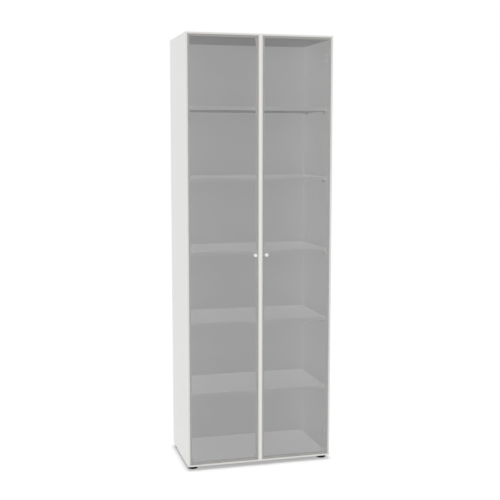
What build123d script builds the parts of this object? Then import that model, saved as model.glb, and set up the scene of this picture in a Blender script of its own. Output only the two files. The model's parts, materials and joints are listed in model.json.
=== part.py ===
from build123d import *
import os

# Tall office cupboard: a white board carcass with five shelves behind two framed glass doors.
# Millimetres. X runs to the right, Y to the back and Z up.
# The origin is on the floor, under the middle of the whole object.

# Carcass boards
WIDTH = 800.0
CARCASS_HEIGHT = 2300.0
CARCASS_DEPTH = 430.0
BOARD = 19.0
BOARD_EDGE_RADIUS = 1.0
BACK_THICKNESS = 8.0
BACK_INSET = 7.0
GROOVE_DEPTH = 8.0
GROOVE_CLEARANCE = 0.2

# Shelves, from the lowest up. Each offset is how far a shelf is set from even spacing.
SHELF_OFFSETS = (-7.0, 0.0, 0.0, 12.0, 4.0)
SHELF_THICKNESS = 19.0
SHELF_SETBACK = 17.0
SHELF_SIDE_CLEARANCE = 0.5
SHELF_BACK_CLEARANCE = 1.0

# Shelf supports and their rows of holes
SUPPORT_ROW_INSET = 60.0
SUPPORT_WIDTH = 12.0
SUPPORT_REACH = 9.0
SUPPORT_HEIGHT = 12.0
SUPPORT_THICKNESS = 2.0
PEG_RADIUS = 2.5
PEG_LENGTH = 9.0
HOLE_PITCH = 32.0
SPARE_HOLES = 2

# Dowels, cams and cam bolts
DOWEL_RADIUS = 4.0
DOWEL_LENGTH = 35.0
DOWEL_IN_SIDE = 12.0
DOWEL_SETBACK = 110.0
CAM_RADIUS = 7.5
CAM_BEYOND_BOLT = 4.0
CAM_DISTANCE = 24.0
CAM_SETBACK = 70.0
CAM_SLOT_WIDTH = 1.6
CAM_SLOT_DEPTH = 2.0
BOLT_RADIUS = 3.0
BOLT_IN_SIDE = 11.0
BOLT_PAST_CAM_CENTRE = 3.0
HOLE_END_ROOM = 1.0
FIT = 0.05

# Doors
DOOR_THICKNESS = 20.0
DOOR_GAP = 2.0
MEETING_GAP = 2.0
FRAME_WIDTH = 21.0
LIP_WIDTH = 9.5
FRAME_WALL = 1.5
FRAME_EDGE_RADIUS = 0.5
GLASS_THICKNESS = 4.0
GLASS_CLEARANCE = 0.5
TAPE_THICKNESS = 1.0
TAPE_INSET = 1.0
TAPE_WIDTH = 9.0
BRACKET_LEG = 50.0
BRACKET_CLEARANCE = 0.2
SEAT_CLEARANCE = 0.3
BUMPER_RADIUS = 4.0
BUMPER_FROM_MEETING_EDGE = 70.0

# Countersunk screws of the door frames
SCREW_RADIUS = 1.4
SCREW_HEAD_RADIUS = 2.6
SCREW_LENGTH = 9.0
SCREW_RECESS_WIDTH = 1.0
SCREW_RECESS_DEPTH = 0.8
CORNER_SCREW_DISTANCE = 40.0

# Hinges
PIVOT_INSET = 5.5
PIVOT_DEPTH = 10.0
KNUCKLE_CLEARANCE = 0.8
KNUCKLE_WEB_GAP = 0.4
HINGE_PIN_RADIUS = 1.5
ARM_THICKNESS = 3.0
ARM_HEIGHT = 12.0
ARM_TAIL = 5.0
CHEEK_THICKNESS = 3.0
CHEEK_CLEARANCE = 0.3
CHEEK_PAST_KNUCKLE = 3.3
CUP_CLEARANCE = 0.1
WING_INSET = 3.0
WING_WIDTH = 14.0
WING_LENGTH = 15.0
WING_THICKNESS = 1.2
PLATE_SETBACK = 37.0
PLATE_WIDTH = 20.0
PLATE_HEIGHT = 48.0
PLATE_SCREW_PITCH = 32.0
PLATE_SCREW_RADIUS = 3.0
PLATE_SCREW_LENGTH = 13.0
PLATE_SCREW_HEAD_RADIUS = 5.0
PLATE_SCREW_HEAD_HEIGHT = 2.0
PLATE_SCREW_RECESS = 1.2
HINGE_END_DISTANCE = 110.0
HINGE_SHELF_DISTANCE = 90.0

# Knobs
KNOB_FROM_CENTRE = 31.0
KNOB_HEIGHT = 1158.0
KNOB_PROJECTION = 20.0
KNOB_RADIUS = 9.0
KNOB_FOOT_RADIUS = 6.0
KNOB_NECK_RADIUS = 4.8
KNOB_NECK_LENGTH = 5.0
KNOB_FLARE_LENGTH = 4.0
KNOB_NOSE_RADIUS = 4.0
KNOB_SCREW_RADIUS = 2.0
KNOB_SCREW_IN_KNOB = 11.0
KNOB_SCREW_HEAD_RADIUS = 4.0
KNOB_SCREW_HEAD_HEIGHT = 2.4
WASHER_RADIUS = 7.0
WASHER_THICKNESS = 1.0
SLEEVE_WALL = 1.2

# Magnetic catches
CATCH_WIDTH = 46.0
CATCH_DEPTH = 14.0
CATCH_HEIGHT = 13.0
CATCH_PEG_RADIUS = 2.5
CATCH_PEG_LENGTH = 8.0
CATCH_PEG_SPACING = 34.0
MAGNET_WIDTH = 14.0
MAGNET_DEPTH = 9.0
MAGNET_HEIGHT = 8.0
STRIKE_WIDTH = 16.0
STRIKE_HEIGHT = 11.0

# Levelling feet
FOOT_HEIGHT = 20.0
FOOT_SIDE_INSET = 33.0
FOOT_FRONT_INSET = 27.0
FOOT_REAR_INSET = 40.0
FOOT_RETRACT = 3.5
PAD_RADIUS = 26.0
PAD_RIM_HEIGHT = 5.0
PAD_RIM_CHAMFER = 1.0
PAD_HUB_RADIUS = 9.0
PAD_HUB_HEIGHT = 2.0
PAD_FLOOR = 3.0
STEM_RADIUS = 5.0
STEM_NECK_RADIUS = 4.0
STEM_SEAT_CLEARANCE = 0.1
STEM_TOP_CLEARANCE = 0.5
STEM_KEY_WIDTH = 5.0
STEM_KEY_DEPTH = 5.0
COLLAR_WIDTH = 14.0
COLLAR_HEIGHT = 3.0
COLLAR_CLEARANCE = 0.9
NUT_RADIUS = 7.0
NUT_FLANGE_RADIUS = 11.0
NUT_FLANGE_THICKNESS = 1.5
CAP_RADIUS = 9.0
CAP_THICKNESS = 1.2
CAP_EDGE_RADIUS = 0.5
CAP_PLUG_DEPTH = 2.0
CAP_PLUG_CLEARANCE = 0.1

# Places that follow from the sizes above
side_outer = WIDTH / 2
side_inner = side_outer - BOARD
carcass_bottom = FOOT_HEIGHT
carcass_top = carcass_bottom + CARCASS_HEIGHT
inner_bottom = carcass_bottom + BOARD
inner_top = carcass_top - BOARD
carcass_back = (KNOB_PROJECTION + DOOR_THICKNESS + DOOR_GAP + CARCASS_DEPTH) / 2
carcass_front = carcass_back - CARCASS_DEPTH
back_front = carcass_back - BACK_INSET - BACK_THICKNESS
door_back = carcass_front - DOOR_GAP
door_front = door_back - DOOR_THICKNESS
door_left = -side_outer
door_right = -MEETING_GAP / 2
door_width = door_right - door_left
rebate = GLASS_THICKNESS + TAPE_THICKNESS
board_levels = (carcass_bottom + BOARD / 2, carcass_top - BOARD / 2)
cam_rows = (carcass_front + CAM_SETBACK, carcass_back - CAM_SETBACK)
dowel_rows = (carcass_front + DOWEL_SETBACK, carcass_back - DOWEL_SETBACK)
support_rows = (carcass_front + SUPPORT_ROW_INSET, back_front - SUPPORT_ROW_INSET)
support_drop = (SUPPORT_HEIGHT + SUPPORT_THICKNESS) / 2
catch_levels = (inner_bottom + CATCH_HEIGHT / 2, inner_top - CATCH_HEIGHT / 2)
meeting_stile_middle = door_right - FRAME_WIDTH / 2

shelf_pitch = (inner_top - inner_bottom + SHELF_THICKNESS) / (len(SHELF_OFFSETS) + 1)
shelf_tops = [inner_bottom + (i + 1) * shelf_pitch + offset for i, offset in enumerate(SHELF_OFFSETS)]
shelf_undersides = [top - SHELF_THICKNESS for top in shelf_tops]
low_shelf = len(SHELF_OFFSETS) // 2 - 1
high_shelf = (len(SHELF_OFFSETS) + 1) // 2

pivot_x = door_left + PIVOT_INSET
pivot_y = door_back - PIVOT_DEPTH
knuckle_radius = PIVOT_INSET - FRAME_WALL - KNUCKLE_CLEARANCE
cheek_inner = ARM_HEIGHT / 2 + CHEEK_CLEARANCE
cheek_outer = cheek_inner + CHEEK_THICKNESS
wing_outer = cheek_outer + WING_LENGTH
wing_screw_height = cheek_outer + WING_LENGTH / 2
plate_middle = carcass_front + PLATE_SETBACK
hinge_heights = (
    carcass_bottom + HINGE_END_DISTANCE,
    shelf_tops[low_shelf] + HINGE_SHELF_DISTANCE,
    shelf_undersides[high_shelf] - HINGE_SHELF_DISTANCE,
    carcass_top - HINGE_END_DISTANCE,
)

foot_x = side_outer - FOOT_SIDE_INSET
foot_places = {
    "front_left": (-foot_x, carcass_front + FOOT_FRONT_INSET),
    "front_right": (foot_x, carcass_front + FOOT_FRONT_INSET),
    "rear_left": (-foot_x, carcass_back - FOOT_REAR_INSET),
    "rear_right": (foot_x, carcass_back - FOOT_REAR_INSET),
}
nut_bottom = carcass_bottom - NUT_FLANGE_THICKNESS
collar_top = nut_bottom - FOOT_RETRACT - COLLAR_CLEARANCE
collar_bottom = collar_top - COLLAR_HEIGHT
hub_top = collar_bottom - STEM_SEAT_CLEARANCE
stem_top = inner_bottom - CAP_PLUG_DEPTH - FOOT_RETRACT - STEM_TOP_CLEARANCE


# Plain shapes

def block(x, y, z):
    """A box that spans the given pairs of X, Y and Z."""
    size = [end - start for start, end in (x, y, z)]
    middle = [(end + start) / 2 for start, end in (x, y, z)]
    return Pos(*middle) * Box(*size)


def around(middle, width):
    """The pair of ends of a width about its middle."""
    return middle - width / 2, middle + width / 2


def rod(radius, start, direction, length):
    """A round bar from a start point along a direction."""
    return Solid.make_cylinder(radius, length, Plane(origin=start, z_dir=direction))


def polygon(points):
    """A flat face with straight edges."""
    return make_face(Polyline(*points, close=True))


def upright(points, bottom, top):
    """A plan outline given in X and Y, raised from bottom to top."""
    return Pos(0, 0, bottom) * extrude(polygon(points), top - bottom)


def turned(points, place, direction):
    """A solid of revolution from points of radius and length, set at a place along a direction."""
    solid = revolve(Plane.XZ * polygon(points), Axis.Z)
    return Plane(origin=place, z_dir=direction).location * solid


def flipped(shape):
    """The same shape on the other side of the cupboard."""
    return mirror(shape, about=Plane.YZ)


def both_sides(shapes):
    """Left-hand shapes followed by their right-hand twins."""
    return list(shapes) + [flipped(shape) for shape in shapes]


def save(name, *shapes):
    """Writes one sub-part, which may be a group of separate solids."""
    solids = [solid for shape in shapes for solid in shape.solids()]
    export_step(solids[0] if len(solids) == 1 else Compound(solids), f"parts/{name}.step")


# Joinery of the left side, which the right side repeats

def dowels(grow=0.0, room=0.0):
    """Dowels between the left side and the top and bottom boards."""
    start = -side_inner - DOWEL_IN_SIDE - room
    length = DOWEL_LENGTH + 2 * room
    return [
        rod(DOWEL_RADIUS + grow, (start, y, z), (1, 0, 0), length)
        for y in dowel_rows for z in board_levels
    ]


def cam_bolts(grow=0.0, room=0.0):
    """Bolts from the left side into the cams."""
    start = -side_inner - BOLT_IN_SIDE - room
    length = BOLT_IN_SIDE + CAM_DISTANCE + BOLT_PAST_CAM_CENTRE + 2 * room
    return [
        rod(BOLT_RADIUS + grow, (start, y, z), (1, 0, 0), length)
        for y in cam_rows for z in board_levels
    ]


def cam_blanks(grow=0.0):
    """Round cams let into the bottom board from below and into the top board from above."""
    x = -side_inner + CAM_DISTANCE
    depth = BOARD / 2 + CAM_BEYOND_BOLT
    faces = ((carcass_bottom, (0, 0, 1)), (carcass_top, (0, 0, -1)))
    return [rod(CAM_RADIUS + grow, (x, y, z), way, depth) for y in cam_rows for z, way in faces]


def cams():
    """Cams with the bolt's bore and a slot for the screwdriver."""
    bores = cam_bolts(FIT, HOLE_END_ROOM)
    x = -side_inner + CAM_DISTANCE
    made = []
    for blank in cam_blanks():
        middle = blank.center()
        z = carcass_bottom if middle.Z < (carcass_bottom + carcass_top) / 2 else carcass_top
        slot = block(
            around(x, CAM_RADIUS),
            around(middle.Y, CAM_SLOT_WIDTH),
            around(z, 2 * CAM_SLOT_DEPTH),
        )
        made.append(blank - bores - slot)
    return made


def joint_holes():
    """All holes for dowels and cam bolts on the left."""
    return dowels(FIT, HOLE_END_ROOM) + cam_bolts(FIT, HOLE_END_ROOM)


# Carcass

def groove(x, y, z):
    return block(x, (y[0] - GROOVE_CLEARANCE, y[1] + GROOVE_CLEARANCE), z)


def left_side_panel():
    panel = block((-side_outer, -side_inner), (carcass_front, carcass_back), (carcass_bottom, carcass_top))
    panel = fillet(panel.edges().filter_by(Axis.Z), BOARD_EDGE_RADIUS)
    cuts = [
        groove(
            (-side_inner - GROOVE_DEPTH, -side_inner),
            (back_front, back_front + BACK_THICKNESS),
            (inner_bottom - GROOVE_DEPTH, inner_top + GROOVE_DEPTH),
        )
    ]
    for underside in shelf_undersides:
        for step in range(-SPARE_HOLES, SPARE_HOLES + 1):
            z = underside - support_drop + step * HOLE_PITCH
            for y in support_rows:
                start = (-side_inner, y, z)
                cuts.append(rod(PEG_RADIUS + FIT, start, (-1, 0, 0), PEG_LENGTH + HOLE_END_ROOM))
    return panel - cuts - joint_holes() - plate_screws(FIT)


def level_board(z, groove_z):
    """The top or bottom board, between the sides."""
    board = block((-side_inner, side_inner), (carcass_front, carcass_back), z)
    board = fillet(board.edges().filter_by(Axis.X), BOARD_EDGE_RADIUS)
    back_groove = groove((-side_inner, side_inner), (back_front, back_front + BACK_THICKNESS), groove_z)
    cuts = both_sides(joint_holes() + cam_blanks(FIT))
    return board - back_groove - cuts - catch_pegs(FIT)


def top_panel():
    return level_board((inner_top, carcass_top), (inner_top, inner_top + GROOVE_DEPTH))


def bottom_panel():
    board = level_board((carcass_bottom, inner_bottom), (inner_bottom - GROOVE_DEPTH, inner_bottom))
    bores = [
        rod(NUT_RADIUS + FIT, (x, y, carcass_bottom), (0, 0, 1), BOARD)
        for x, y in foot_places.values()
    ]
    return board - bores


def back_panel():
    reach = GROOVE_DEPTH - GROOVE_CLEARANCE
    return block(
        (-side_inner - reach, side_inner + reach),
        (back_front, back_front + BACK_THICKNESS),
        (inner_bottom - reach, inner_top + reach),
    )


def shelf(underside):
    half = side_inner - SHELF_SIDE_CLEARANCE
    board = block(
        (-half, half),
        (carcass_front + SHELF_SETBACK, back_front - SHELF_BACK_CLEARANCE),
        (underside, underside + SHELF_THICKNESS),
    )
    return fillet(board.edges().filter_by(Axis.X).group_by(Axis.Y)[0], BOARD_EDGE_RADIUS)


def shelf_supports(underside):
    """Angle supports under the left end of one shelf."""
    made = []
    for y in support_rows:
        wide = around(y, SUPPORT_WIDTH)
        ledge = block(
            (-side_inner, -side_inner + SUPPORT_REACH),
            wide,
            (underside - SUPPORT_THICKNESS, underside),
        )
        plate = block(
            (-side_inner, -side_inner + SUPPORT_THICKNESS),
            wide,
            (underside - SUPPORT_HEIGHT, underside),
        )
        peg = rod(PEG_RADIUS, (-side_inner, y, underside - support_drop), (-1, 0, 0), PEG_LENGTH)
        made.append(ledge + plate + peg)
    return made


# Hinges of the left door

def hinge_arm(z):
    """A cranked arm from the pin back to its plate on the side panel."""
    inner = -side_inner + ARM_THICKNESS
    tall = around(z, ARM_HEIGHT)
    knuckle = rod(knuckle_radius, (pivot_x, pivot_y, tall[0]), (0, 0, 1), ARM_HEIGHT)
    cross = block((pivot_x, inner), around(pivot_y, ARM_THICKNESS), tall)
    plate_ends = around(plate_middle, PLATE_WIDTH)
    leg = block((-side_inner, inner), (pivot_y - ARM_THICKNESS / 2, plate_ends[1] + ARM_TAIL), tall)
    plate = block((-side_inner, inner), plate_ends, around(z, PLATE_HEIGHT))
    bore = rod(HINGE_PIN_RADIUS + FIT, (pivot_x, pivot_y, tall[0]), (0, 0, 1), ARM_HEIGHT)
    return knuckle + cross + leg + plate - bore - plate_screws(FIT)


def plate_screws(grow=0.0):
    """Screws through the hinge plates into the left side panel, or their holes where grown."""
    inner = -side_inner + ARM_THICKNESS
    made = []
    for z in hinge_heights:
        for screw_z in around(z, PLATE_SCREW_PITCH):
            start = (inner, plate_middle, screw_z)
            screw = rod(PLATE_SCREW_RADIUS + grow, start, (-1, 0, 0), PLATE_SCREW_LENGTH + grow)
            if not grow:
                head = rod(PLATE_SCREW_HEAD_RADIUS, start, (1, 0, 0), PLATE_SCREW_HEAD_HEIGHT)
                face = (inner + PLATE_SCREW_HEAD_HEIGHT, plate_middle, screw_z)
                screw = screw + head - cross_recess(face, PLATE_SCREW_HEAD_RADIUS, PLATE_SCREW_RECESS)
            made.append(screw)
    return made


def cross_recess(face, length, width):
    """Two crossed slots in a screw head that faces along X, as deep as they are wide."""
    x, y, z = face
    deep = around(x, 2 * width)
    slots = block(deep, around(y, length), around(z, width))
    return slots + block(deep, around(y, width), around(z, length))


def hinge_cup(z):
    """A bracket let into the hinge stile, whose two cheeks hold the pin."""
    outer = door_left + FRAME_WALL + CUP_CLEARANCE
    lip_inner = door_left + LIP_WIDTH - FRAME_WALL - CUP_CLEARANCE
    front = door_front + FRAME_WALL + CUP_CLEARANCE
    step = door_front + rebate + FRAME_WALL + CUP_CLEARANCE
    reach = pivot_x + knuckle_radius + CHEEK_PAST_KNUCKLE
    web_back = pivot_y - knuckle_radius - KNUCKLE_WEB_GAP
    outline = [
        (outer, front),
        (lip_inner, front),
        (lip_inner, step),
        (reach, step),
        (reach, door_back),
        (outer, door_back),
    ]
    wing_x = (door_left + WING_INSET, door_left + WING_INSET + WING_WIDTH)
    wing_y = (door_back, door_back + WING_THICKNESS)
    cup = block((outer, lip_inner), (front, web_back), around(z, 2 * cheek_outer))
    for low, high in ((-cheek_outer, -cheek_inner), (cheek_inner, cheek_outer)):
        cup += upright(outline, z + low, z + high)
    for low, high in ((-wing_outer, -cheek_inner), (cheek_inner, wing_outer)):
        cup += block(wing_x, wing_y, (z + low, z + high))
    return cup - [hinge_pin(z, FIT)] - frame_screws(FIT)


def hinge_pin(z, grow=0.0):
    return rod(HINGE_PIN_RADIUS + grow, (pivot_x, pivot_y, z - cheek_outer), (0, 0, 1), 2 * cheek_outer)


def hinge_pocket(z):
    """The opening in the hinge stile for one cup and the swing of its arm."""
    return block(
        (door_left + FRAME_WALL, door_left + FRAME_WIDTH),
        (door_front + rebate + FRAME_WALL, door_back),
        around(z, 2 * (cheek_outer + CUP_CLEARANCE)),
    )


# Left door

def profile_bar(length):
    """A hollow frame profile, mitred at both ends, with its outer edge on Z and its front at Y = 0."""
    outline = [
        (0, 0),
        (LIP_WIDTH, 0),
        (LIP_WIDTH, rebate),
        (FRAME_WIDTH, rebate),
        (FRAME_WIDTH, DOOR_THICKNESS),
        (0, DOOR_THICKNESS),
    ]
    cavity = [
        (FRAME_WALL, FRAME_WALL),
        (LIP_WIDTH - FRAME_WALL, FRAME_WALL),
        (LIP_WIDTH - FRAME_WALL, rebate + FRAME_WALL),
        (FRAME_WIDTH - FRAME_WALL, rebate + FRAME_WALL),
        (FRAME_WIDTH - FRAME_WALL, DOOR_THICKNESS - FRAME_WALL),
        (FRAME_WALL, DOOR_THICKNESS - FRAME_WALL),
    ]
    mitred = [(0, 0), (FRAME_WIDTH, FRAME_WIDTH), (FRAME_WIDTH, length - FRAME_WIDTH), (0, length)]
    outer = polygon(outline)
    section = fillet(outer.vertices(), FRAME_EDGE_RADIUS) - polygon(cavity)
    ends = extrude(Plane.XZ * polygon(mitred), DOOR_THICKNESS, dir=(0, 1, 0))
    return extrude(section, length) & ends


def left_hinge_stile():
    bar = Pos(door_left, door_front, carcass_bottom) * profile_bar(CARCASS_HEIGHT)
    return bar - [hinge_pocket(z) for z in hinge_heights] - frame_screws(FIT)


def left_meeting_stile():
    bar = Pos(door_right, door_front, carcass_top) * Rot(0, 180, 0) * profile_bar(CARCASS_HEIGHT)
    return bar - frame_screws(FIT)


def left_top_rail():
    bar = Pos(door_left, door_front, carcass_top) * Rot(0, 90, 0) * profile_bar(door_width)
    return bar - frame_screws(FIT)


def left_bottom_rail():
    bar = Pos(door_right, door_front, carcass_bottom) * Rot(0, -90, 0) * profile_bar(door_width)
    return bar - frame_screws(FIT)


def door_corners():
    """Each corner of the left door, with the directions in X and Z that lead into the door."""
    return (
        (door_left, carcass_bottom, 1, 1),
        (door_right, carcass_bottom, -1, 1),
        (door_left, carcass_top, 1, -1),
        (door_right, carcass_top, -1, -1),
    )


def corner_bracket(x, z, inward_x, inward_z):
    """An angle that fills the cavities of two profiles at one corner."""
    near = FRAME_WALL + BRACKET_CLEARANCE
    far = FRAME_WIDTH - FRAME_WALL - BRACKET_CLEARANCE
    front = door_front + rebate + near
    back = door_back - near
    legs = [(near, near), (BRACKET_LEG, near), (BRACKET_LEG, far), (far, far), (far, BRACKET_LEG)]
    legs.append((near, BRACKET_LEG))
    points = [(x + inward_x * along, z + inward_z * up) for along, up in legs]
    angle = extrude(Plane.XZ * polygon(points), back - front, dir=(0, 1, 0))
    return Pos(0, front, 0) * angle - frame_screws(FIT)


def frame_screw_places():
    """X, Z and the Y of the head's face for every countersunk screw in the back of the left door."""
    places = []
    for x, z, inward_x, inward_z in door_corners():
        middle_x = x + inward_x * FRAME_WIDTH / 2
        middle_z = z + inward_z * FRAME_WIDTH / 2
        places.append((middle_x, z + inward_z * CORNER_SCREW_DISTANCE, door_back))
        places.append((x + inward_x * CORNER_SCREW_DISTANCE, middle_z, door_back))
    wing_middle = door_left + WING_INSET + WING_WIDTH / 2
    for z in hinge_heights:
        for screw_z in around(z, 2 * wing_screw_height):
            places.append((wing_middle, screw_z, door_back + WING_THICKNESS))
    for z in catch_levels:
        places.append((meeting_stile_middle, z, carcass_front - SEAT_CLEARANCE))
    return places


def frame_screws(grow=0.0):
    """The countersunk screws, or their holes where grown."""
    made = []
    for x, z, face in frame_screw_places():
        plane = Plane(origin=(x, face, z), z_dir=(0, -1, 0))
        head_depth = SCREW_HEAD_RADIUS - SCREW_RADIUS
        head = Solid.make_cone(SCREW_HEAD_RADIUS + grow, SCREW_RADIUS + grow, head_depth, plane)
        screw = head + Solid.make_cylinder(SCREW_RADIUS + grow, SCREW_LENGTH + grow, plane)
        if not grow:
            deep = around(face, 2 * SCREW_RECESS_DEPTH)
            wide = 2 * SCREW_RADIUS
            screw -= block(around(x, wide), deep, around(z, SCREW_RECESS_WIDTH))
            screw -= block(around(x, SCREW_RECESS_WIDTH), deep, around(z, wide))
        made.append(screw)
    return made


def left_glass():
    edge = LIP_WIDTH + GLASS_CLEARANCE
    pane = block(
        (door_left + edge, door_right - edge),
        (door_front, door_front + GLASS_THICKNESS),
        (carcass_bottom + edge, carcass_top - edge),
    )
    place = (-KNOB_FROM_CENTRE, door_front, KNOB_HEIGHT)
    hole_radius = KNOB_SCREW_RADIUS + SLEEVE_WALL + 2 * FIT
    return pane - rod(hole_radius, place, (0, 1, 0), GLASS_THICKNESS)


def left_glazing_tape():
    """Four strips of tape that bond the pane to its frame."""
    near = LIP_WIDTH + GLASS_CLEARANCE + TAPE_INSET
    far = near + TAPE_WIDTH
    y = (door_front + GLASS_THICKNESS, door_front + rebate)
    tall = (carcass_bottom + near, carcass_top - near)
    wide = (door_left + far, door_right - far)
    return [
        block((door_left + near, door_left + far), y, tall),
        block((door_right - far, door_right - near), y, tall),
        block(wide, y, (carcass_bottom + near, carcass_bottom + far)),
        block(wide, y, (carcass_top - far, carcass_top - near)),
    ]


def left_knob():
    """A turned knob with a waisted neck and a rounded head."""
    length = KNOB_PROJECTION - WASHER_THICKNESS
    flare_end = KNOB_NECK_LENGTH + KNOB_FLARE_LENGTH
    outline = [
        (0, 0),
        (KNOB_FOOT_RADIUS, 0),
        (KNOB_NECK_RADIUS, KNOB_NECK_LENGTH),
        (KNOB_RADIUS, flare_end),
        (KNOB_RADIUS, length),
        (0, length),
    ]
    place = (-KNOB_FROM_CENTRE, door_front - WASHER_THICKNESS, KNOB_HEIGHT)
    knob = turned(outline, place, (0, -1, 0))
    nose = knob.edges().filter_by(GeomType.CIRCLE).group_by(Axis.Y)[0]
    knob = fillet(nose, KNOB_NOSE_RADIUS)
    hole_length = KNOB_SCREW_IN_KNOB + HOLE_END_ROOM
    return knob - rod(KNOB_SCREW_RADIUS + FIT, place, (0, -1, 0), hole_length)


def left_knob_washers():
    """A washer before the pane, and one behind it whose sleeve lines the hole."""
    x, z = -KNOB_FROM_CENTRE, KNOB_HEIGHT
    pane_back = door_front + GLASS_THICKNESS
    bore_length = GLASS_THICKNESS + 2 * WASHER_THICKNESS
    bore = rod(KNOB_SCREW_RADIUS + FIT, (x, door_front - WASHER_THICKNESS, z), (0, 1, 0), bore_length)
    front = rod(WASHER_RADIUS, (x, door_front, z), (0, -1, 0), WASHER_THICKNESS)
    rear = rod(WASHER_RADIUS, (x, pane_back, z), (0, 1, 0), WASHER_THICKNESS)
    sleeve = rod(KNOB_SCREW_RADIUS + FIT + SLEEVE_WALL, (x, door_front, z), (0, 1, 0), GLASS_THICKNESS)
    return [front - bore, rear + sleeve - bore]


def left_knob_screw():
    x, z = -KNOB_FROM_CENTRE, KNOB_HEIGHT
    seat = door_front + GLASS_THICKNESS + WASHER_THICKNESS
    length = seat - door_front + WASHER_THICKNESS + KNOB_SCREW_IN_KNOB
    shank = rod(KNOB_SCREW_RADIUS, (x, seat, z), (0, -1, 0), length)
    head = rod(KNOB_SCREW_HEAD_RADIUS, (x, seat, z), (0, 1, 0), KNOB_SCREW_HEAD_HEIGHT)
    deep = around(seat + KNOB_SCREW_HEAD_HEIGHT, KNOB_SCREW_HEAD_HEIGHT)
    slot = block(around(x, KNOB_SCREW_HEAD_RADIUS), deep, around(z, SCREW_RECESS_WIDTH))
    cross_slot = block(around(x, SCREW_RECESS_WIDTH), deep, around(z, KNOB_SCREW_HEAD_RADIUS))
    return shank + head - slot - cross_slot


def left_strike_plates():
    """Steel plates that the magnets hold, one at the top and one at the bottom."""
    y = (door_back, carcass_front - SEAT_CLEARANCE)
    wide = around(meeting_stile_middle, STRIKE_WIDTH)
    return [block(wide, y, around(z, STRIKE_HEIGHT)) - frame_screws(FIT) for z in catch_levels]


def left_bumpers():
    """Soft discs that meet the front edges of the top and bottom boards."""
    x = door_right - BUMPER_FROM_MEETING_EDGE
    return [
        rod(BUMPER_RADIUS, (x, door_back, z), (0, 1, 0), DOOR_GAP - SEAT_CLEARANCE)
        for z in board_levels
    ]


# Magnetic catches

def catch_pegs(grow=0.0):
    """Pegs that press into the top and bottom boards."""
    y = carcass_front + CATCH_DEPTH / 2
    made = []
    for z, way in ((inner_bottom, (0, 0, -1)), (inner_top, (0, 0, 1))):
        for x in around(0, CATCH_PEG_SPACING):
            made.append(rod(CATCH_PEG_RADIUS + grow, (x, y, z), way, CATCH_PEG_LENGTH + grow))
    return made


def magnets(grow=0.0):
    made = []
    for z in catch_levels:
        for x in (meeting_stile_middle, -meeting_stile_middle):
            made.append(
                block(
                    around(x, MAGNET_WIDTH + 2 * grow),
                    (carcass_front, carcass_front + MAGNET_DEPTH + grow),
                    around(z, MAGNET_HEIGHT + 2 * grow),
                )
            )
    return made


def catch_housings():
    y = (carcass_front, carcass_front + CATCH_DEPTH)
    pegs = catch_pegs()
    lower = block(around(0, CATCH_WIDTH), y, around(catch_levels[0], CATCH_HEIGHT)) + pegs[:2]
    upper = block(around(0, CATCH_WIDTH), y, around(catch_levels[1], CATCH_HEIGHT)) + pegs[2:]
    return [lower - magnets(FIT), upper - magnets(FIT)]


# Levelling feet

def foot_pad(x, y):
    """A round foot with a socket for the stem."""
    bore = STEM_NECK_RADIUS + FIT
    outline = [
        (0, 0),
        (PAD_RADIUS - PAD_RIM_CHAMFER, 0),
        (PAD_RADIUS, PAD_RIM_CHAMFER),
        (PAD_RADIUS, PAD_RIM_HEIGHT),
        (PAD_HUB_RADIUS, hub_top - PAD_HUB_HEIGHT),
        (PAD_HUB_RADIUS, hub_top),
        (bore, hub_top),
        (bore, PAD_FLOOR),
        (0, PAD_FLOOR),
    ]
    return turned(outline, (x, y, 0), (0, 0, 1))


def foot_stem(x, y):
    """A stem with a six-sided collar, and a key socket in its top end."""
    neck_bottom = PAD_FLOOR + SEAT_CLEARANCE
    neck = rod(STEM_NECK_RADIUS, (x, y, neck_bottom), (0, 0, 1), collar_bottom - neck_bottom)
    hexagon = RegularPolygon(COLLAR_WIDTH / 2, 6, major_radius=False)
    collar = Pos(x, y, collar_bottom) * extrude(hexagon, COLLAR_HEIGHT)
    thread = rod(STEM_RADIUS, (x, y, collar_top), (0, 0, 1), stem_top - collar_top)
    key = RegularPolygon(STEM_KEY_WIDTH / 2, 6, major_radius=False)
    socket = Pos(x, y, stem_top - STEM_KEY_DEPTH) * extrude(key, STEM_KEY_DEPTH)
    return neck + collar + thread - socket


def foot_nut(x, y):
    """A flanged socket pressed into the bottom board from below."""
    length = BOARD - CAP_PLUG_DEPTH - STEM_TOP_CLEARANCE
    sleeve = rod(NUT_RADIUS, (x, y, carcass_bottom), (0, 0, 1), length)
    flange = rod(NUT_FLANGE_RADIUS, (x, y, nut_bottom), (0, 0, 1), NUT_FLANGE_THICKNESS)
    bore = rod(STEM_RADIUS + FIT, (x, y, nut_bottom), (0, 0, 1), NUT_FLANGE_THICKNESS + length)
    return sleeve + flange - bore


def foot_hole_cap(x, y):
    """A cap that closes the adjusting hole inside the cupboard."""
    plug_bottom = inner_bottom - CAP_PLUG_DEPTH
    plug = rod(NUT_RADIUS - CAP_PLUG_CLEARANCE, (x, y, plug_bottom), (0, 0, 1), CAP_PLUG_DEPTH)
    disc = rod(CAP_RADIUS, (x, y, inner_bottom), (0, 0, 1), CAP_THICKNESS)
    rim = disc.edges().filter_by(GeomType.CIRCLE).sort_by(Axis.Z)[-1]
    return fillet(rim, CAP_EDGE_RADIUS) + plug


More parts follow.
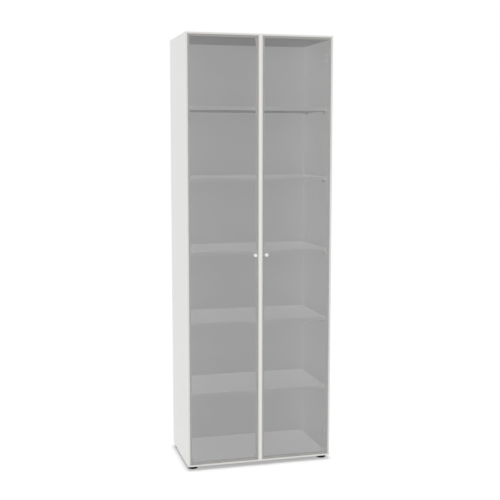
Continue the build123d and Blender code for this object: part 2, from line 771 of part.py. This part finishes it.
def save_carcass():
    side = left_side_panel()
    save("left_side_panel", side)
    save("right_side_panel", flipped(side))
    save("top_panel", top_panel())
    save("bottom_panel", bottom_panel())
    save("back_panel", back_panel())
    for number, underside in enumerate(shelf_undersides, 1):
        save(f"shelf_{number}", shelf(underside))
    supports = [support for underside in shelf_undersides for support in shelf_supports(underside)]
    save("shelf_supports", *both_sides(supports))
    save("carcass_dowels", *both_sides(dowels()))
    save("cam_housings", *both_sides(cams()))
    save("cam_bolts", *both_sides(cam_bolts()))
    arms = [hinge_arm(z) for z in hinge_heights]
    save("left_hinge_arms", *arms)
    save("right_hinge_arms", *[flipped(arm) for arm in arms])
    save("hinge_plate_screws", *both_sides(plate_screws()))
    save("catch_housings", *catch_housings())
    save("catch_magnets", *magnets())
    save("foot_sockets", *[foot_nut(x, y) for x, y in foot_places.values()])
    save("foot_hole_caps", *[foot_hole_cap(x, y) for x, y in foot_places.values()])


def save_doors():
    """Each left-hand piece and its mirror image on the right."""
    pieces = {
        "hinge_stile": [left_hinge_stile()],
        "meeting_stile": [left_meeting_stile()],
        "top_rail": [left_top_rail()],
        "bottom_rail": [left_bottom_rail()],
        "corner_brackets": [corner_bracket(*corner) for corner in door_corners()],
        "frame_screws": frame_screws(),
        "glass": [left_glass()],
        "glazing_tape": left_glazing_tape(),
        "hinge_cups": [hinge_cup(z) for z in hinge_heights],
        "hinge_pins": [hinge_pin(z) for z in hinge_heights],
        "knob": [left_knob()],
        "knob_washers": left_knob_washers(),
        "knob_screw": [left_knob_screw()],
        "strike_plates": left_strike_plates(),
        "bumpers": left_bumpers(),
    }
    for name, shapes in pieces.items():
        save(f"left_door_{name}", *shapes)
        save(f"right_door_{name}", *[flipped(shape) for shape in shapes])


def save_feet():
    for place, (x, y) in foot_places.items():
        save(f"{place}_foot_pad", foot_pad(x, y))
        save(f"{place}_foot_stem", foot_stem(x, y))


os.makedirs("parts", exist_ok=True)
save_carcass()
save_doors()
save_feet()
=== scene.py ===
import json
import math

import bpy
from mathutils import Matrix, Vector


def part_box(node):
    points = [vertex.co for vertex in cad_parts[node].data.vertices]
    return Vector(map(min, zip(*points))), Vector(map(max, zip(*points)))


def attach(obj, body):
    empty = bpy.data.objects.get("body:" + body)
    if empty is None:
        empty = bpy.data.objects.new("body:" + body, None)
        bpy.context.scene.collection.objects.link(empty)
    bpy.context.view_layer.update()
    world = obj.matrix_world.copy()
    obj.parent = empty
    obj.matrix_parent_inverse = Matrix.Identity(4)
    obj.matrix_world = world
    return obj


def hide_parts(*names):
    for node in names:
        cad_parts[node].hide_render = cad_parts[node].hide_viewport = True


# Tall office cupboard: the finish of every surface, the turned, ribbed and threaded pieces, and the studio.
# Metres, unless a heading says otherwise. X runs to the right, Y to the back and Z up.

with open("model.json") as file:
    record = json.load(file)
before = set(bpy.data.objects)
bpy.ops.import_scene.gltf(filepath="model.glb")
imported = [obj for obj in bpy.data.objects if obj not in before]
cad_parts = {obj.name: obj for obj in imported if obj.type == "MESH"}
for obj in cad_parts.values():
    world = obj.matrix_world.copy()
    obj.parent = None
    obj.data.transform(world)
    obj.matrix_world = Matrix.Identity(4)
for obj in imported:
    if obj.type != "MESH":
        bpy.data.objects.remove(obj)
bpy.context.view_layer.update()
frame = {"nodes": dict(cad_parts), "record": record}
MM = 0.001

# Camera, with angles in degrees and the lens in millimetres
CAMERA_PLACE = (-1.342, -5.040, 1.749)
CAMERA_YAW = 14.90
CAMERA_PITCH = 6.425
CAMERA_LENS = 67.84

# Studio light: where it comes from, how strong it is, and how wide the key is in degrees.
# Under a light of 1 a colour shows as it is written.
AMBIENT = 0.55
KEY_FROM = (0, 0, 1)
KEY = 0.55
KEY_ANGLE = 2.0
FILLS = {
    "front_fill": ((0, -1, 0), 0.385),
    "left_fill": ((-1, 0, 0), 0.42),
    "right_fill": ((1, 0, 0), 0.43),
    "rear_fill": ((0, 1, 0), 0.38),
}
SHELF_FILL_FROM = (0, -0.02, 1)
SHELF_FILL = 0.48
FLOOR_SIZE = 14.0
FLOOR_DROP = 0.2 * MM
FLOOR_GLOW = 0.345
FLOOR_COLOUR = (0.6225, 0.6225, 0.6225, 1)
FLOOR_BOUNCE = (0.40, 0.40, 0.40, 1)

# Colours
BOARD_WHITE = (0.785, 0.790, 0.778, 1)
BOARD_SHADE = (0.765, 0.770, 0.758, 1)
CORE_LIGHT = (0.56, 0.43, 0.28, 1)
CORE_DARK = (0.33, 0.23, 0.13, 1)
FRAME_WHITE = (0.785, 0.780, 0.758, 1)
FRAME_SHADE = (0.765, 0.760, 0.736, 1)
BEECH_LIGHT = (0.62, 0.42, 0.25, 1)
BEECH_DARK = (0.46, 0.29, 0.15, 1)
GLASS_TINT = (0.7205, 0.716, 0.727, 1)
CLEAR = (1, 1, 1, 1)

# Sizes of the surface detail
BAND = 1.3 * MM
BAND_LINE = 0.15 * MM
CORE_DEPTH = 0.4 * MM
MITRE_LINE = 0.12 * MM
EDGE = 0.4 * MM

# Axes across which each board has an edge band: 0 for X, 1 for Y and 2 for Z
BANDED_EDGES = {
    "left_side_panel": (1, 2),
    "right_side_panel": (1, 2),
    "top_panel": (1,),
    "bottom_panel": (1,),
}
SHELF_BANDS = (0, 1)

# Plain finishes. The grain is in lumps to the metre.
METALS = {
    "zinc_steel": dict(name="zinc", colour=(0.55, 0.56, 0.57), roughness=0.36, grain=1200),
    "cast_alloy": dict(name="cast", colour=(0.50, 0.50, 0.50), roughness=0.48, grain=1800),
}
PLASTICS = {
    "hinge_steel": dict(
        name="enamel", colour=BOARD_WHITE[:3], roughness=0.30, grain=700, relief=0.02 * MM
    ),
    "knob_lacquer": dict(
        name="lacquer", colour=(0.82, 0.82, 0.81), roughness=0.25, grain=500, relief=0.02 * MM
    ),
    "clear_plastic": dict(
        name="clear_plastic", colour=(0.75, 0.75, 0.74), roughness=0.18, grain=300, relief=0.01 * MM
    ),
    "white_plastic": dict(
        name="white_plastic", colour=(0.80, 0.80, 0.78), roughness=0.40, grain=1500, relief=0.03 * MM
    ),
    # The pads' black and low gloss are darker than bare black plastic: the plastic's own black plus painted
    # shade for the shadow under the cupboard, which the fills without shadow leave out.
    "black_plastic": dict(
        name="black_plastic", colour=(0.008, 0.008, 0.008), roughness=0.55, grain=1500, relief=0.05 * MM,
        gloss=0.1,
    ),
    "silicone": dict(
        name="silicone", colour=(0.65, 0.65, 0.64), roughness=0.35, grain=400, relief=0.02 * MM
    ),
    "glazing_tape": dict(
        name="tape", colour=(0.62, 0.61, 0.585), roughness=0.65, grain=1200, relief=0.05 * MM
    ),
    "magnet": dict(
        name="ferrite", colour=(0.05, 0.05, 0.055), roughness=0.55, grain=2000, relief=0.04 * MM
    ),
}

# Knobs: radius and length from the foot of the knob, in millimetres
KNOB_HOLE_RADIUS = 2.05
KNOB_HOLE_LENGTH = 12.0
KNOB_FOOT_RADIUS = 6.0
KNOB_FOOT_EDGE = 0.3
KNOB_NECK_RADIUS = 4.8
KNOB_NECK_LENGTH = 5.0
KNOB_FLARE_END = 9.5
KNOB_RADIUS = 9.0
KNOB_LENGTH = 19.0
KNOB_NOSE_RADIUS = 4.0
KNOB_SEGMENTS = 72
KNOB_STEPS = 10

# Pads of the levelling feet: radius and height above the floor, in millimetres
PAD_RADIUS = 26.0
PAD_SOLE_CHAMFER = 1.0
PAD_RIM_HEIGHT = 5.0
PAD_EDGE = 0.6
PAD_HUB_RADIUS = 9.0
PAD_HUB_BASE = 9.0
PAD_HUB_TOP = 11.0
PAD_HUB_EDGE = 0.4
PAD_BORE_RADIUS = 4.05
PAD_FLOOR = 3.0
PAD_RECESS_RADIUS = 18.0
PAD_RECESS_DEPTH = 0.6
PAD_RIBS = 12
PAD_RIB_OUTER = 24.0
PAD_RIB_INNER = 10.2
PAD_RIB_END = 0.8
PAD_RIB_HEIGHT = 1.1
PAD_SEGMENTS = 144

# Half the width of a rib at its top and at its foot, as shares of the step from rib to rib
PAD_RIB_TOP = 0.2
PAD_RIB_FOOT = 0.325

# How far the middle of a rounded edge stands back, as a share of its radius
ROUND_MIDDLE = 0.3

# Stems of the levelling feet: radius and height above the floor, in millimetres
STEM_NECK_RADIUS = 4.0
STEM_NECK_CHAMFER = 0.4
STEM_BOTTOM = 3.3
COLLAR_BOTTOM = 11.1
COLLAR_TOP = 14.1
COLLAR_HALF_WIDTH = 7.0
COLLAR_CHAMFER = 0.45
THREAD_RADIUS = 5.0
THREAD_DEPTH = 0.75
THREAD_PITCH = 1.5
THREAD_STEPS = 8
STEM_TOP = 33.0
STEM_CHAMFER = 0.6
KEY_HALF_WIDTH = 2.5
KEY_DEPTH = 5.0
KEY_CHAMFER = 0.3
STEM_SEGMENTS = 48

# Width of the thread's root and of both its flanks, as shares of the pitch
THREAD_ROOT = 0.1275
THREAD_FLANKS = 0.75

# Edges that turn by more than this many degrees stay sharp
SHARP_ANGLE = 32.0


class Nodes:
    """A node tree, and short calls that add and join its nodes."""

    def __init__(self, owner):
        owner.use_nodes = True
        self.tree = owner.node_tree

    def feed(self, node, inputs):
        """Sets or joins a node's inputs, by name or number."""
        for key, value in inputs.items():
            if isinstance(value, bpy.types.NodeSocket):
                self.tree.links.new(value, node.inputs[key])
            else:
                node.inputs[key].default_value = value

    def add(self, kind, inputs, **settings):
        """A new node."""
        node = self.tree.nodes.new("ShaderNode" + kind)
        for key, value in settings.items():
            setattr(node, key, value)
        self.feed(node, inputs)
        return node

    def place(self):
        """Where a point is, in metres in the shared frame."""
        return self.add("TexCoord", {}).outputs["Object"]

    def noise(self, scale, detail, stretch=(1, 1, 1)):
        """Soft random cloud of 0 to 1 with so many lumps to the metre."""
        scales = [scale * share for share in stretch]
        spread = self.add("Mapping", {"Vector": self.place(), "Scale": scales})
        inputs = {"Vector": spread.outputs[0], "Scale": 1.0, "Detail": detail}
        return self.add("TexNoise", inputs).outputs[0]

    def sum(self, operation, *values):
        """One step of arithmetic on one or two numbers."""
        return self.add("Math", dict(enumerate(values)), operation=operation).outputs[0]

    def ramp(self, value, start, end, low=0.0, high=1.0):
        """Low up to start, high from end on, and a straight line between them."""
        inputs = {"Value": value, "From Min": start, "From Max": end, "To Min": low, "To Max": high}
        return self.add("MapRange", inputs).outputs[0]

    def blend(self, share, first, second):
        """A colour between two others."""
        inputs = {0: share, 6: first, 7: second}
        return self.add("Mix", inputs, data_type="RGBA").outputs[2]

    def bump(self, height, depth, strength, edge=0.0):
        """A normal for small relief of so many metres, and for edges rounded to a radius."""
        inputs = {"Height": height, "Distance": depth, "Strength": strength}
        if edge:
            inputs["Normal"] = self.add("Bevel", {"Radius": edge}, samples=6).outputs[0]
        return self.add("Bump", inputs).outputs[0]


class Finish(Nodes):
    """A node material with one main shader."""

    def __init__(self, name, **values):
        self.material = bpy.data.materials.new(name)
        super().__init__(self.material)
        self.shader = self.tree.nodes["Principled BSDF"]
        self.paint(**values)

    def paint(self, **values):
        """Sets or joins the main shader's inputs."""
        self.feed(self.shader, {key.replace("_", " "): value for key, value in values.items()})
        return self.material

    def show(self, shader):
        """Shows another shader in place of the main one."""
        self.feed(self.tree.nodes["Material Output"], {"Surface": shader.outputs[0]})
        return self.material


# Finishes

def depths_in_box(finish, low, high):
    """How deep a point lies inside a box, from its nearer face, along X, Y and Z."""
    place = finish.add("SeparateXYZ", {0: finish.place()})
    depths = []
    for axis in range(3):
        off = finish.sum("SUBTRACT", place.outputs[axis], (low[axis] + high[axis]) / 2)
        half = (high[axis] - low[axis]) / 2
        depths.append(finish.sum("SUBTRACT", half, finish.sum("ABSOLUTE", off)))
    return depths


def white_board(node):
    """White melamine on chipboard, with hairlines at the edge bands and raw core inside the holes."""
    finish = Finish("melamine_" + node, Specular_IOR_Level=0.3)
    depths = depths_in_box(finish, *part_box(node))
    inside = finish.sum("MINIMUM", finish.sum("MINIMUM", depths[0], depths[1]), depths[2])
    core = finish.ramp(inside, CORE_DEPTH, 1.5 * CORE_DEPTH)
    white = finish.blend(finish.noise(7, detail=3), BOARD_SHADE, BOARD_WHITE)
    for axis in BANDED_EDGES.get(node, SHELF_BANDS if node.startswith("shelf") else ()):
        off = finish.sum("ABSOLUTE", finish.sum("SUBTRACT", depths[axis], BAND))
        line = finish.ramp(off, 0, BAND_LINE, low=0.45, high=0)
        white = finish.blend(line, white, CORE_LIGHT)
    chips = finish.ramp(finish.noise(900, detail=4), 0.35, 0.65)
    raw = finish.blend(chips, CORE_DARK, CORE_LIGHT)
    sheen = finish.ramp(finish.noise(60, detail=3), 0.3, 0.7, low=0.40, high=0.50)
    grain = finish.noise(1300, detail=3)
    return finish.paint(
        Base_Color=finish.blend(core, white, raw),
        Roughness=finish.ramp(core, 0, 1, low=sheen, high=0.9),
        Normal=finish.bump(grain, depth=0.04 * MM, strength=0.35),
    )


def white_frame(node):
    """Powder-coated aluminium with a hairline at each mitre."""
    door = node.split("_door_")[0] + "_door_"
    low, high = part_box(door + "hinge_stile")
    other_low, other_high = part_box(door + "meeting_stile")
    low = [min(pair) for pair in zip(low, other_low)]
    high = [max(pair) for pair in zip(high, other_high)]
    finish = Finish("powder_coat_" + node, Specular_IOR_Level=0.4)
    depths = depths_in_box(finish, low, high)
    off = finish.sum("ABSOLUTE", finish.sum("SUBTRACT", depths[0], depths[2]))
    white = finish.blend(finish.noise(9, detail=3), FRAME_SHADE, FRAME_WHITE)
    mitre = finish.ramp(off, 0.3 * MITRE_LINE, MITRE_LINE, low=0.7, high=0)
    peel = finish.noise(650, detail=2)
    return finish.paint(
        Base_Color=finish.blend(mitre, white, CORE_DARK),
        Roughness=finish.ramp(finish.noise(120, detail=3), 0.3, 0.7, low=0.34, high=0.44),
        Normal=finish.bump(peel, depth=0.05 * MM, strength=0.4),
    )


def tinted_glass(node):
    """Grey glass that mirrors a little and lets lamp light through."""
    finish = Finish("grey_glass_" + node)
    rays = finish.add("LightPath", {})
    lit = finish.sum("MAXIMUM", rays.outputs["Is Shadow Ray"], rays.outputs["Is Diffuse Ray"])
    tint = finish.add("BsdfTransparent", {"Color": GLASS_TINT})
    open_way = finish.add("BsdfTransparent", {"Color": CLEAR})
    smears = finish.ramp(finish.noise(14, detail=4), 0.35, 0.75, low=0.02, high=0.09)
    mirror = finish.add("BsdfGlossy", {"Color": CLEAR, "Roughness": smears})
    facing = finish.add("LayerWeight", {"Blend": 0.04}).outputs["Fresnel"]
    front = finish.sum("SUBTRACT", 1.0, finish.add("NewGeometry", {}).outputs["Backfacing"])
    share = finish.sum("MULTIPLY", facing, front)
    seen = finish.add("MixShader", {0: share, 1: tint.outputs[0], 2: mirror.outputs[0]})
    whole = finish.add("MixShader", {0: lit, 1: seen.outputs[0], 2: open_way.outputs[0]})
    return finish.show(whole)


def beech(node):
    """Beech with its grain and flecks along the dowel."""
    finish = Finish("beech_" + node)
    grain = finish.noise(900, detail=4, stretch=(0.06, 1, 1))
    return finish.paint(
        Base_Color=finish.blend(grain, BEECH_DARK, BEECH_LIGHT),
        Roughness=finish.ramp(grain, 0.3, 0.7, low=0.6, high=0.75),
        Normal=finish.bump(grain, depth=0.05 * MM, strength=0.4),
    )


def metal(node, name, colour, roughness, grain):
    """Bare or plated metal with fine grain."""
    finish = Finish(f"{name}_{node}", Metallic=1.0)
    cloud = finish.noise(grain, detail=3)
    darker = [0.86 * part for part in colour] + [1]
    return finish.paint(
        Base_Color=finish.blend(finish.noise(90, detail=3), darker, [*colour, 1]),
        Roughness=finish.ramp(cloud, 0.3, 0.7, low=roughness - 0.07, high=roughness + 0.07),
        Normal=finish.bump(cloud, depth=0.02 * MM, strength=0.3, edge=EDGE),
    )


def plastic(node, name, colour, roughness, grain, relief, gloss=0.5):
    """Plastic, rubber, enamel or lacquer with fine grain."""
    finish = Finish(f"{name}_{node}", IOR=1.48, Specular_IOR_Level=gloss)
    cloud = finish.noise(grain, detail=3)
    darker = [0.95 * part for part in colour] + [1]
    return finish.paint(
        Base_Color=finish.blend(finish.noise(70, detail=3), darker, [*colour, 1]),
        Roughness=finish.ramp(cloud, 0.3, 0.7, low=roughness - 0.05, high=roughness + 0.05),
        Normal=finish.bump(cloud, depth=relief, strength=0.4, edge=EDGE),
    )


FINISHES = {
    "white_board": white_board,
    "white_frame": white_frame,
    "tinted_glass": tinted_glass,
    "beech": beech,
}


def make_finish(slot, node):
    """The material of a slot, for one node."""
    if slot in METALS:
        return metal(node, **METALS[slot])
    if slot in PLASTICS:
        return plastic(node, **PLASTICS[slot])
    return FINISHES[slot](node)


def finish_nodes():
    """Gives every carried-over node the finish of its slot."""
    for part in frame["record"]["subparts"]:
        node = part["node"]
        mesh = frame["nodes"][node].data
        mesh.materials.clear()
        mesh.materials.append(make_finish(part["material_slot"], node))


# Turned, ribbed and threaded pieces

def ring(segments, radius, height):
    """One ring of points, where the radius and the height may be numbers or follow the angle."""
    points = []
    for step in range(segments):
        angle = 2 * math.pi * step / segments
        out = radius(angle) if callable(radius) else radius
        up = height(angle) if callable(height) else height
        points.append((out * math.cos(angle), out * math.sin(angle), up))
    return points


def add_piece(name, rings, place, towards, body, node, slot):
    """A closed skin through rings of points in millimetres, in place of a carried-over node."""
    segments = len(rings[0])
    points = [Vector(point) * MM for row in rings for point in row]
    faces = [tuple(reversed(range(segments)))]
    for row in range(len(rings) - 1):
        for step in range(segments):
            low = row * segments + step
            next_low = row * segments + (step + 1) % segments
            faces.append((low, next_low, next_low + segments, low + segments))
    faces.append(tuple(range(len(points) - segments, len(points))))
    turn = Vector(towards).to_track_quat("Z", "Y")
    mesh = bpy.data.meshes.new(name)
    mesh.from_pydata([turn @ point + Vector(place) for point in points], [], faces)
    mesh.shade_smooth()
    mesh.set_sharp_from_angle(angle=math.radians(SHARP_ANGLE))
    mesh.materials.append(make_finish(slot, name))
    piece = bpy.data.objects.new(name, mesh)
    bpy.context.scene.collection.objects.link(piece)
    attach(piece, body)
    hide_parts(node)


def hexagon(half_width, limit):
    """The radius of a hexagon at an angle, cut back to a circle of the given limit."""
    return lambda angle: min(limit, half_width / math.cos(angle % (math.pi / 3) - math.pi / 6))


def within_one(share):
    """A share that stays between 0 and 1."""
    return min(1, max(0, share))


def ease(share):
    """A smooth step from 0 to 1."""
    return share * share * (3 - 2 * share)


def eased(first, second):
    """Points of an outline that swing smoothly from one radius and length to another."""
    points = []
    for step in range(1, KNOB_STEPS + 1):
        share = step / KNOB_STEPS
        radius = first[0] + (second[0] - first[0]) * ease(share)
        points.append((radius, first[1] + (second[1] - first[1]) * share))
    return points


def knob_rings():
    """From the screw hole out over the foot, along the waisted neck and round the nose."""
    foot = (KNOB_FOOT_RADIUS, KNOB_FOOT_EDGE)
    neck = (KNOB_NECK_RADIUS, KNOB_NECK_LENGTH)
    outline = [
        (KNOB_HOLE_RADIUS, KNOB_HOLE_LENGTH),
        (KNOB_HOLE_RADIUS, 0),
        (KNOB_FOOT_RADIUS - KNOB_FOOT_EDGE, 0),
        foot,
    ]
    outline += eased(foot, neck) + eased(neck, (KNOB_RADIUS, KNOB_FLARE_END))
    for step in range(KNOB_STEPS + 1):
        angle = math.pi / 2 * step / KNOB_STEPS
        inset = KNOB_NOSE_RADIUS * (1 - math.cos(angle))
        outline.append((KNOB_RADIUS - inset, KNOB_LENGTH - KNOB_NOSE_RADIUS * (1 - math.sin(angle))))
    return [ring(KNOB_SEGMENTS, radius, along) for radius, along in outline]


def make_knobs():
    """A turned knob on each door."""
    for side in ("left", "right"):
        door = side + "_door"
        node = door + "_knob"
        low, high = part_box(node)
        place = ((low[0] + high[0]) / 2, high[1], (low[2] + high[2]) / 2)
        name = side + "_turned_knob"
        add_piece(name, knob_rings(), place, (0, -1, 0), door, node, "knob_lacquer")


def rib(angle):
    """How far a rib stands up at an angle round the pad, from 0 between the ribs to 1 on top of one."""
    turn = angle * PAD_RIBS / (2 * math.pi) % 1
    rise = (PAD_RIB_FOOT - abs(turn - 0.5)) / (PAD_RIB_FOOT - PAD_RIB_TOP)
    return ease(within_one(rise))


def pad_slope(radius, ribbed):
    """A point on the pad's sloping top, bare or with the ribs on it."""
    slope = (PAD_HUB_BASE - PAD_RIM_HEIGHT) / (PAD_RADIUS - PAD_HUB_RADIUS)
    bare = PAD_RIM_HEIGHT + slope * (PAD_RADIUS - radius)
    return radius, (lambda angle: bare + PAD_RIB_HEIGHT * rib(angle)) if ribbed else bare


def pad_rings():
    """A pad with a recessed sole, a round rim, radial ribs and a hub with the stem's socket."""
    middle = ROUND_MIDDLE * PAD_EDGE
    outline = [
        (PAD_RECESS_RADIUS, PAD_RECESS_DEPTH),
        (PAD_RECESS_RADIUS + PAD_RECESS_DEPTH, 0),
        (PAD_RADIUS - PAD_SOLE_CHAMFER, 0),
        (PAD_RADIUS, PAD_SOLE_CHAMFER),
        (PAD_RADIUS, PAD_RIM_HEIGHT - PAD_EDGE),
        (PAD_RADIUS - middle, PAD_RIM_HEIGHT - middle),
        (PAD_RADIUS - PAD_EDGE, PAD_RIM_HEIGHT),
        pad_slope(PAD_RIB_OUTER, False),
        pad_slope(PAD_RIB_OUTER - PAD_RIB_END, True),
        pad_slope(PAD_RIB_INNER + PAD_RIB_END, True),
        pad_slope(PAD_RIB_INNER, False),
        pad_slope(PAD_HUB_RADIUS + PAD_HUB_EDGE, False),
        (PAD_HUB_RADIUS, PAD_HUB_BASE + PAD_HUB_EDGE),
        (PAD_HUB_RADIUS, PAD_HUB_TOP - PAD_HUB_EDGE),
        (PAD_HUB_RADIUS - PAD_HUB_EDGE, PAD_HUB_TOP),
        (PAD_BORE_RADIUS, PAD_HUB_TOP),
        (PAD_BORE_RADIUS, PAD_FLOOR),
    ]
    return [ring(PAD_SEGMENTS, out, up) for out, up in outline]


def thread(height):
    """The radius of a right-hand thread at a height, which fades out at both ends."""
    fade = within_one(min(height - COLLAR_TOP, STEM_TOP - height) / THREAD_PITCH)

    def radius(angle):
        turn = (height / THREAD_PITCH - angle / (2 * math.pi)) % 1
        crest = within_one((1 - abs(2 * turn - 1) - THREAD_ROOT) / THREAD_FLANKS)
        return THREAD_RADIUS - THREAD_DEPTH * (1 - crest * fade)

    return radius


def stem_rings():
    """A neck, a six-sided collar with chamfers, a thread, and a six-sided key socket in the top."""
    corner = COLLAR_HALF_WIDTH / math.cos(math.pi / 6)
    flat = hexagon(COLLAR_HALF_WIDTH, corner)
    cut = hexagon(COLLAR_HALF_WIDTH, corner - 2 * COLLAR_CHAMFER)
    key_corner = KEY_HALF_WIDTH / math.cos(math.pi / 6)
    key = hexagon(KEY_HALF_WIDTH, key_corner)
    outline = [
        (STEM_NECK_RADIUS - STEM_NECK_CHAMFER, STEM_BOTTOM),
        (STEM_NECK_RADIUS, STEM_BOTTOM + STEM_NECK_CHAMFER),
        (STEM_NECK_RADIUS, COLLAR_BOTTOM),
        (cut, COLLAR_BOTTOM),
        (flat, COLLAR_BOTTOM + COLLAR_CHAMFER),
        (flat, COLLAR_TOP - COLLAR_CHAMFER),
        (cut, COLLAR_TOP),
        (THREAD_RADIUS - THREAD_DEPTH, COLLAR_TOP),
    ]
    thread_length = STEM_TOP - STEM_CHAMFER - COLLAR_TOP
    steps = round(thread_length / THREAD_PITCH * THREAD_STEPS)
    for step in range(1, steps + 1):
        height = COLLAR_TOP + thread_length * step / steps
        outline.append((thread(height), height))
    outline += [
        (THREAD_RADIUS - THREAD_DEPTH, STEM_TOP),
        (key_corner + KEY_CHAMFER, STEM_TOP),
        (key, STEM_TOP - KEY_CHAMFER),
        (key, STEM_TOP - KEY_DEPTH),
    ]
    return [ring(STEM_SEGMENTS, out, up) for out, up in outline]


def make_feet():
    """A ribbed pad and a threaded stem at each foot."""
    up = (0, 0, 1)
    for place in ("front_left", "front_right", "rear_left", "rear_right"):
        pad = place + "_foot_pad"
        stem = place + "_foot_stem"
        low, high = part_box(pad)
        spot = ((low[0] + high[0]) / 2, (low[1] + high[1]) / 2, 0)
        name = place + "_ribbed_pad"
        add_piece(name, pad_rings(), spot, up, place + "_foot", pad, "black_plastic")
        name = place + "_threaded_stem"
        add_piece(name, stem_rings(), spot, up, place + "_stem", stem, "zinc_steel")


# Studio

def seen_directly(nodes):
    """1 for rays that show a surface to the camera, a mirror or glass, and 0 for rays that carry light."""
    rays = nodes.add("LightPath", {})
    mirrored = nodes.sum("MAXIMUM", rays.outputs["Is Camera Ray"], rays.outputs["Is Glossy Ray"])
    return nodes.sum("MAXIMUM", mirrored, rays.outputs["Is Transmission Ray"])


def white_floor():
    """A floor that shows white outside the shadow, and gives back as much light as a pale grey one."""
    finish = Finish("white_floor")
    glow = finish.add("Emission", {"Color": CLEAR, "Strength": FLOOR_GLOW})
    shown = finish.add("BsdfDiffuse", {"Color": FLOOR_COLOUR})
    both = finish.add("AddShader", {0: glow.outputs[0], 1: shown.outputs[0]})
    bounce = finish.add("BsdfDiffuse", {"Color": FLOOR_BOUNCE})
    inputs = {0: seen_directly(finish), 1: bounce.outputs[0], 2: both.outputs[0]}
    return finish.show(finish.add("MixShader", inputs))


def make_floor():
    """A flat square just below the feet."""
    half = FLOOR_SIZE / 2
    corners = [(-half, -half, -FLOOR_DROP), (half, -half, -FLOOR_DROP)]
    corners += [(half, half, -FLOOR_DROP), (-half, half, -FLOOR_DROP)]
    mesh = bpy.data.meshes.new("floor")
    mesh.from_pydata(corners, [], [(0, 1, 2, 3)])
    mesh.materials.append(white_floor())
    floor = bpy.data.objects.new("floor", mesh)
    bpy.context.scene.collection.objects.link(floor)
    return floor


def make_world():
    """Soft light from all round, behind a background that shows white."""
    world = bpy.data.worlds.new("studio")
    bpy.context.scene.world = world
    studio = Nodes(world)
    light = studio.tree.nodes["Background"]
    studio.feed(light, {"Color": CLEAR, "Strength": AMBIENT})
    shown = studio.add("Background", {"Color": CLEAR, "Strength": 1.0})
    inputs = {0: seen_directly(studio), 1: light.outputs[0], 2: shown.outputs[0]}
    mixed = studio.add("MixShader", inputs)
    studio.feed(studio.tree.nodes["World Output"], {"Surface": mixed.outputs[0]})


def make_lamp(name, towards, strength):
    """Parallel light from one side."""
    light = bpy.data.lights.new(name, "SUN")
    light.energy = strength * math.pi
    lamp = bpy.data.objects.new(name, light)
    lamp.rotation_euler = Vector(towards).to_track_quat("Z", "Y").to_euler()
    bpy.context.scene.collection.objects.link(lamp)
    return lamp


def make_fill(name, towards, strength):
    """Parallel light, hidden from mirrors."""
    fill = make_lamp(name, towards, strength)
    fill.visible_glossy = False
    return fill


def group(name, things, state):
    """A collection that a lamp lights or leaves out, or that alone casts its shadow."""
    collection = bpy.data.collections.new(name)
    for thing in things:
        collection.objects.link(thing)
    for member in collection.collection_objects:
        member.light_linking.link_state = state
    return collection


def make_lamps(floor):
    """A key from above, fills without shadow on all but the floor, and a fill on top of the shelves."""
    key = make_lamp("key", KEY_FROM, KEY)
    key.data.angle = math.radians(KEY_ANGLE)
    for name, (towards, strength) in FILLS.items():
        fill = make_fill(name, towards, strength)
        fill.data.use_shadow = False
        fill.light_linking.receiver_collection = group("not_in_" + name, [floor], "EXCLUDE")
    nodes = frame["nodes"]
    boards = [nodes[node] for node in nodes if node.rstrip("12345") in ("shelf_", "bottom_panel")]
    fill = make_fill("shelf_fill", SHELF_FILL_FROM, SHELF_FILL)
    fill.data.cycles.max_bounces = 0
    fill.light_linking.receiver_collection = group("in_shelf_fill", boards, "INCLUDE")
    back = [nodes["back_panel"]]
    fill.light_linking.blocker_collection = group("stops_shelf_fill", back, "INCLUDE")


def make_camera():
    """The view from the front left, a little from above."""
    camera = bpy.data.objects.new("camera", bpy.data.cameras.new("camera"))
    camera.data.lens = CAMERA_LENS
    camera.location = CAMERA_PLACE
    camera.rotation_euler = (math.radians(90 - CAMERA_PITCH), 0, -math.radians(CAMERA_YAW))
    bpy.context.scene.collection.objects.link(camera)
    bpy.context.scene.camera = camera


finish_nodes()
make_knobs()
make_feet()
make_world()
make_lamps(make_floor())
make_camera()
bpy.context.scene.view_settings.view_transform = "Standard"
